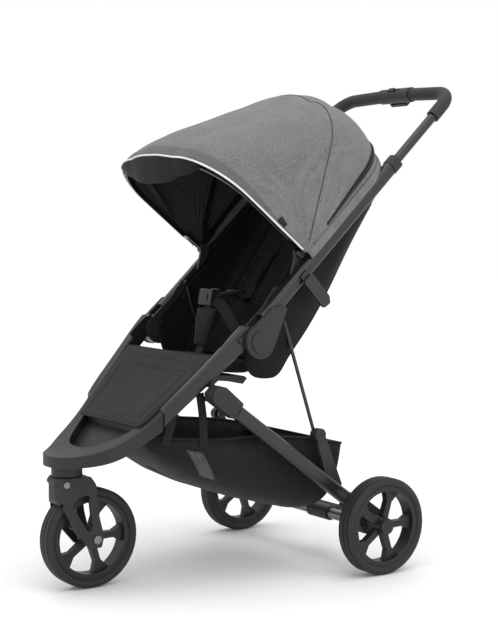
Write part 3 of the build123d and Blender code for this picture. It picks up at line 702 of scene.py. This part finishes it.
# ---- visor: stiffened crescent hanging inside the front edge ----
visor_rows = []
for i in range(13):
    row = []
    for j in range(61):
        s = mix(0.275, 0.725, j / 60)
        top = hood(0.0, s, -5.0)
        drop = 44.0 * max(0.0, 1 - abs(2 * j / 60 - 1) ** 3.0) ** 0.6 + 4.0
        q = i / 12
        row.append(top + Vector((0, (-6.0 + 10.0 * q * q) / 1000, -drop * q / 1000)))
    visor_rows.append(row)
visor = thicken(grid_object("hood_visor", visor_rows, M["visor"]), 0.003, 0.0)
visor_hem = tube("hood_visor_hem", visor_rows[-1], 0.0022, M["visor"], 8)
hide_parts("canopy_visor")
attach(visor, "visor")
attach(visor_hem, "visor")

# ---- backrest ----
BACK_ANGLE = radians(54.89)
BACK_LEN = 403.4
SHELL_HALF, SHELL_BULGE = 146, 9.0


def on_back(x, distance, depth):
    """Point up the backrest from the seat bite; depth is behind its front face."""
    return at(x, BITE[0] + distance * cos(BACK_ANGLE) + depth * sin(BACK_ANGLE),
              BITE[1] + distance * sin(BACK_ANGLE) - depth * cos(BACK_ANGLE))


def back_local(co):
    y, z = (co.y - AXLE_Y) * 1000 - BITE[0], co.z * 1000 - BITE[1]
    return (co.x * 1000, y * cos(BACK_ANGLE) + z * sin(BACK_ANGLE),
            y * sin(BACK_ANGLE) - z * cos(BACK_ANGLE))


BACK_OUT = Vector((0, -sin(BACK_ANGLE), cos(BACK_ANGLE)))
pad = cushion("backrest_pad", lambda a, b, c: on_back(a, b + 10, 9 - c), 136, 388, 15, M["seat"])
puff(pad, 0.005, 4.0, 0.006)


def back_measure(co):
    x, distance, depth = back_local(co)
    return x, distance, BACK_OUT if depth < 8 else None


pinch(pad, back_measure,
      [lambda a, b: abs(b - 120), lambda a, b: abs(b - 262),
       lambda a, b: abs(abs(a) - 92) if 120 < b < 262 else 99,
       lambda a, b: abs(abs(a) - 46) if 150 < b < 240 else 99], 4.5, 5.0)
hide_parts("backrest")


def shell_bulge(a, share):
    """Swell of the rear cover: a from -1 to 1 across, share from the seat bite to the top."""
    return SHELL_BULGE * (1 - a ** 4) * (0.35 + 0.65 * sin(pi * min(1, share * 1.1)) ** 0.7)


shell_rows = []
for i in range(41):
    d = mix(4, BACK_LEN + 2, i / 40)
    row = []
    for j in range(33):
        a = mix(-1, 1, j / 32)
        bulge = shell_bulge(a, i / 40)
        bulge += 1.6 * noise.noise(Vector((a * 3, i * 0.12, 1.7)))
        row.append(on_back(a * SHELL_HALF, d, 15.5 + bulge - SHELL_BULGE * abs(a) ** 6))
    shell_rows.append(row)
shell = thicken(grid_object("backrest_cover", shell_rows, M["back"]), 0.002, 0.0)
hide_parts("backrest_board")
back_seams = []
for k, x in enumerate((-96, 96)):
    line = []
    for q in range(31):
        depth = 17.6 + shell_bulge(x / SHELL_HALF, q / 30)
        line.append(on_back(x, mix(14, BACK_LEN - 6, q / 30), depth))
    back_seams.append(tube("backrest_cover_seam_%d" % k, line, 0.0012, M["thread"], 6))
curtain_rows = []
for i in range(15):
    q = i / 14
    row = []
    for j in range(49):
        a = j / 48
        top = hood(0.997, mix(0.285, 0.715, a), -1.0)
        low = on_back(mix(143, -143, a), BACK_LEN - 12, 24)
        row.append(top.lerp(low, q) + Vector((0, 0.006 * sin(pi * q), 0)))
    curtain_rows.append(row)
curtain = thicken(grid_object("hood_rear_curtain", curtain_rows, M["back"]), 0.002, 0.0)
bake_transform(curtain)
for piece in [pad, shell] + back_seams:
    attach(piece, "backrest")
for piece in (pad, shell, *back_seams):
    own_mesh(piece)

# ---- seat sides ----
rear_line = [(-258, 424), (-240, 398), (-205, 391), (-180, 398), (-153, 433), (-106, 489),
             (-60, 555), (-5, 645), (48, 722)]
side_rows = []
for i in range(57):
    t = i / 56
    top = along(mix(6, 455, t), 15)
    low = (catmull([p[0] for p in rear_line], t), catmull([p[1] for p in rear_line], t))
    row = []
    for j in range(19):
        w = j / 18
        x = mix(163.5, 147, w) + 5.0 * sin(pi * w) + 1.3 * noise.noise(Vector((t * 6, w * 2, 4.1)))
        row.append(at(x, mix(top[0], low[0], w), mix(top[1], low[1], w)))
    side_rows.append(row)
side_left = thicken(grid_object("seat_side_left", side_rows, M["seat"]), 0.0022, 0.0)
hem_left = tube("seat_side_hem_left", [r[-1] for r in side_rows], 0.0024, M["seat"], 8)
edge_left = tube("seat_side_top_left", [r[0] for r in side_rows], 0.0022, M["seat"], 8)
pocket = []
for k in range(25):
    whole, part = divmod(mix(18, 40, k / 24), 1.0)
    column = int(5 + 8 * sin(pi * k / 24))
    spot = side_rows[int(whole)][column].lerp(side_rows[int(whole) + 1][column], part)
    pocket.append(spot - Vector((0.0024, 0, 0)))
pocket = smooth_path(pocket[::4], 40)
pocket_left = tube("seat_pocket_edge_left", pocket, 0.0016, M["back"], 8)
sides = [side_left, hem_left, edge_left, pocket_left]
sides += [mirrored(o, o.name.replace("left", "right")) for o in sides]
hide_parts("seat_sides")
for piece in sides:
    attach(piece, "upper_frame")
for piece in sides:
    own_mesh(piece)

# ---- seat cushion ----
SEAT_FRONT = (-330.0, 431.0)
SEAT_REAR = (BITE[0] - 4, 417.0)
seat_dir = atan2(SEAT_REAR[1] - SEAT_FRONT[1], SEAT_REAR[0] - SEAT_FRONT[0])


def on_seat(x, distance, depth):
    return at(x, SEAT_FRONT[0] + distance * cos(seat_dir) + depth * sin(seat_dir),
              SEAT_FRONT[1] + distance * sin(seat_dir) - depth * cos(seat_dir))


seat = cushion("seat_cushion", lambda a, b, c: on_seat(a, b + 3, 11.5 - c), 133, 120, 20,
               M["seat"])
puff(seat, 0.005, 4.0, 0.005)
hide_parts("seat_base")
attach(seat, "chassis")
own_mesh(seat)

# ---- calf panel ----
PANEL_LOW, PANEL_HIGH = (-470.0, 313.0), (-336.0, 437.0)
PANEL_HALF = (114.0, 158.0)
panel_dir = atan2(PANEL_HIGH[1] - PANEL_LOW[1], PANEL_HIGH[0] - PANEL_LOW[0])
PANEL_LEN = hypot(PANEL_HIGH[0] - PANEL_LOW[0], PANEL_HIGH[1] - PANEL_LOW[1])
# The stitched rectangle and the seam above it, as shares of the panel's half width and length.
STITCH_HALF, STITCH_MIDDLE, STITCH_REACH = 0.80, 0.42, 0.335
TOP_SEAM = 0.87


def on_panel(a, q, out):
    """Point on the calf panel: a from -1 to 1 across, q from 0 at the foot to 1, out in mm."""
    half = mix(PANEL_HALF[0], PANEL_HALF[1], q)
    sag = -3.0 * (1 - a * a) * sin(pi * q)
    d = q * PANEL_LEN
    return at(a * half, PANEL_LOW[0] + d * cos(panel_dir) - (out + sag) * sin(panel_dir),
              PANEL_LOW[1] + d * sin(panel_dir) + (out + sag) * cos(panel_dir))


def panel_height(a, q):
    """Quilted face: raised inside the stitched rectangle, rolled at the edges."""
    roll = 1 - abs(a) ** 10
    rim = min(1.0, (1 - abs(a)) * 16, q * 22, (1 - q) * 22)
    inset = max(abs(a) / STITCH_HALF, abs(q - STITCH_MIDDLE) / STITCH_REACH)
    groove = bell((inset - 1) * 26) * 1.3
    groove += bell((q - TOP_SEAM) * 90) * 1.2
    lump = 0.7 * noise.noise(Vector((a * 3.1, q * 3.7, 2.2)))
    return 2.9 * sqrt(max(rim, 0.0)) * roll ** 0.3 - groove + lump * rim


panel_verts = []
PANEL_COLS, PANEL_ROWS = 96, 72
for face_sign in (1, -1):
    for i in range(PANEL_ROWS + 1):
        q = i / PANEL_ROWS
        for j in range(PANEL_COLS + 1):
            a = -1 + 2 * j / PANEL_COLS
            rise = panel_height(a, q) if face_sign > 0 else -2.6 * min(1, (1 - abs(a)) * 12 + 0.1)
            if abs(a) == 1 or q in (0, 1):
                rise = 0.35 * face_sign
            panel_verts.append(on_panel(a, q, rise))
sheet_count = (PANEL_ROWS + 1) * (PANEL_COLS + 1)
panel_faces = grid_faces(PANEL_ROWS + 1, PANEL_COLS + 1)
panel_faces += [tuple(sheet_count + k for k in reversed(f)) for f in panel_faces]
rim_loop = list(range(PANEL_COLS + 1))
rim_loop += [i * (PANEL_COLS + 1) + PANEL_COLS for i in range(1, PANEL_ROWS + 1)]
rim_loop += [PANEL_ROWS * (PANEL_COLS + 1) + j for j in reversed(range(PANEL_COLS))]
rim_loop += [i * (PANEL_COLS + 1) for i in reversed(range(1, PANEL_ROWS))]
for k, a in enumerate(rim_loop):
    b = rim_loop[(k + 1) % len(rim_loop)]
    panel_faces.append((a, b, sheet_count + b, sheet_count + a))
panel = recalc(new_object("calf_pad", panel_verts, panel_faces, M["panel"]))


def panel_border(scale_a, centre_q, scale_q, out, count):
    points = []
    for u, v in rounded_loop(1.0, 1.0, 0.16, count):
        points.append(on_panel(u * scale_a, centre_q + v * scale_q,
                               panel_height(u * scale_a, centre_q + v * scale_q) + out))
    return points


stitch = tube("calf_pad_stitching",
              panel_border(STITCH_HALF, STITCH_MIDDLE, STITCH_REACH, 0.25, 10), 0.0006,
              M["thread"], 6, closed=True)
hem = tube("calf_pad_binding", panel_border(0.995, 0.5, 0.495, -1.6, 10), 0.0026, M["panel"], 8,
           closed=True)
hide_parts("calf_panel")
for piece in (panel, stitch, hem):
    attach(piece, "chassis")

# ---- basket: side lines of its floor and rim, then the rim seen from above ----
BASKET_LOW = [(-450, 264), (-400, 229), (-353, 199), (-297, 172), (-210, 141), (-100, 111),
              (-30, 103)]
BASKET_RIM = [(-446, 291), (-345, 283), (-236, 281), (-115, 267), (-30, 249)]


def table_value(table, y):
    if y <= table[0][0]:
        return table[0][1]
    for (y0, z0), (y1, z1) in zip(table, table[1:]):
        if y <= y1:
            return mix(z0, z1, (y - y0) / (y1 - y0))
    return table[-1][1]


corners = [(100, -444), (132, -392), (157, -318), (157, -34), (-157, -34), (-157, -318),
           (-132, -392), (-100, -444)]
rim_plan = []
for k, (x, y) in enumerate(corners):
    x1, y1 = corners[(k + 1) % len(corners)]
    steps = max(3, int(hypot(x1 - x, y1 - y) / 7))
    rim_plan += [(mix(x, x1, q / steps), mix(y, y1, q / steps)) for q in range(steps)]


def basket_point(k, drop, out=0.0):
    """Point of the bag at a rim position and a share of the way down and in to the middle."""
    x, y = rim_plan[k % len(rim_plan)]
    phi = drop * pi / 2
    inward = 1 - max(cos(phi), 0.0) ** (2 / 3.4)
    down = sin(phi) ** (2 / 3.4)
    yc = min(max(y, -380), -90)
    px, py = mix(x, 0, inward), mix(y, yc, inward)
    rear = max(0.0, min(1.0, (y + 70) / 36))
    py -= 26 * down * rear
    top, low = table_value(BASKET_RIM, y), table_value(BASKET_LOW, py)
    belly = 4.5 * sin(pi * min(drop * 1.25, 1.0)) * (1 - inward)
    fold = 2.2 * noise.noise(Vector((px * 0.018, py * 0.018, drop * 2.0)))
    fold += 1.2 * sin(py * 0.16) * (1 - drop) * 0.6
    shift = (belly if abs(x) > 120 else 0.0) * 0.2 + fold * 0.5 + out
    sx = 1 if x > 0 else -1
    return at(px + sx * shift * (1 - inward), py, mix(top, low, down) + 0.6 * fold * inward)


bag_rows = []
for i in range(37):
    bag_rows.append([basket_point(k, i / 36) for k in range(len(rim_plan))])
bag_verts = [p for row in bag_rows for p in row]
bag = recalc(new_object("basket_bag", bag_verts, grid_faces(37, len(rim_plan), False, True),
                        M["basket"]))
thicken(bag, 0.002, 0.0)
bag_hem = tube("basket_rim_binding", bag_rows[0], 0.0032, M["webbing"], 8, closed=True, flat=0.7)
window_rows = []
WINDOW = [k for k, (x, y) in enumerate(rim_plan) if x > 120 and -392 < y < -350]
for i in range(9):
    row = []
    for k in WINDOW:
        whole, part = divmod(k + 0.75 * i, 1.0)
        drop = mix(0.07, 0.50, i / 8)
        row.append(basket_point(int(whole), drop, 1.6).lerp(
            basket_point(int(whole) + 1, drop, 1.6), part))
    window_rows.append(row)
window = thicken(grid_object("basket_mesh_window", window_rows,
                             cloth("mesh_net", 62, 84, weave=0.0045, bump=0.8)), 0.001, 0.0)
window_path = window_rows[0] + [r[-1] for r in window_rows[1:]]
window_path += list(reversed(window_rows[-1][:-1]))
window_path += [r[0] for r in reversed(window_rows[1:-1])]
window_edge = tube("basket_window_edge", window_path, 0.0014, M["webbing"], 6, closed=True)
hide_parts("basket")
for piece in (bag, bag_hem, window, window_edge):
    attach(piece, "chassis")
    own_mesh(piece)

for sign in (1, -1):
    name = "left" if sign > 0 else "right"
    for k, (y_low, y_high, z_high, x_high) in enumerate(((-352, -362, 372, 150),
                                                         (-420, -414, 336, 140))):
        low = at(sign * (148 if k == 0 else 118), y_low, table_value(BASKET_RIM, y_low) - 14)
        high = at(sign * x_high, y_high, z_high)
        path = [low.lerp(high, q / 10) + Vector((0, 0.003 * sin(pi * q / 10), 0))
                for q in range(11)]
        strap = ribbon("basket_strap_%s_%d" % (name, k), path, [Vector((sign, -0.25, 0))] * 11,
                       0.016, 0.0016, M["webbing"])
        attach(strap, "chassis")

# ---- harness ----
crotch = cushion("crotch_cushion",
                 lambda a, b, c: at(a, -263 + b * 0.22 - c, 443 + b * 0.972 + c * 0.2),
                 24, 78, 10, M["seat"], taper=1.5)
puff(crotch, 0.003, 4.0, 0.0025)
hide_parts("crotch_pad")
crotch_web = ribbon("crotch_webbing",
                    smooth_path([at(0, -270, 427), at(0, -264, 436), at(0, -257, 452),
                                 at(0, -246, 500), at(0, -243, 526)], 24),
                    [Vector((0, -1, 0.25))] * 24, 0.024, 0.002, M["webbing"])
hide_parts("crotch_strap")
for piece in (crotch, crotch_web):
    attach(piece, "chassis")

shoulder, straps = [], []
for sign in (1, -1):
    name = "left" if sign > 0 else "right"
    sp = cushion("shoulder_pad_" + name,
                 lambda a, b, c, s=sign: on_back(s * (47 - b * 0.04) + a, b + 172, -8 - c),
                 15.5, 88, 7.5, M["seat"])
    puff(sp, 0.003, 4.0, 0.002)
    shoulder.append(sp)
    upper = smooth_path([on_back(sign * 44, 318, 2), on_back(sign * 45, 300, -2.5),
                         on_back(sign * 45, 262, -5), on_back(sign * 46, 200, -6),
                         on_back(sign * 46, 168, -7)], 30)
    web = ribbon("shoulder_webbing_" + name, upper, [BACK_OUT] * 30, 0.025, 0.0018, M["webbing"])
    straps.append(web)
    lower = smooth_path([on_back(sign * 46, 172, -7), on_back(sign * 42, 140, -14),
                         at(sign * 34, -180, 545), at(sign * 26, -214, 548),
                         at(sign * 19, -240, 543)], 34)
    link = ribbon("chest_webbing_" + name, lower, [Vector((0, -0.6, 0.8))] * 34, 0.022, 0.0018,
                  M["webbing"])
    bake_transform(link)
    for k, q in enumerate((9, 20)):
        centre = lower[q]
        frame_pts = []
        for u, v in rounded_loop(0.0165, 0.009, 0.003, 4):
            tangent = (lower[q + 1] - lower[q - 1]).normalized()
            across = Vector((1, 0, 0))
            frame_pts.append(centre + across * u + tangent * v + Vector((0, -0.001, 0.0022)))
        loop = tube("strap_adjuster_%s_%d" % (name, k), frame_pts, 0.0022, M["gloss"], 8,
                    closed=True)
        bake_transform(loop)
    waist = smooth_path([at(sign * 18, -243, 538), at(sign * 40, -236, 520),
                         at(sign * 78, -226, 472), at(sign * 112, -216, 432),
                         at(sign * 124, -212, 416)], 30)
    belt = ribbon("waist_webbing_" + name, waist, [Vector((sign * 0.3, -0.7, 0.6))] * 30, 0.022,
                  0.0018, M["webbing"])
    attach(belt, "chassis")
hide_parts("shoulder_pads")
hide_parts("shoulder_straps")
for piece in shoulder + straps:
    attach(piece, "backrest")
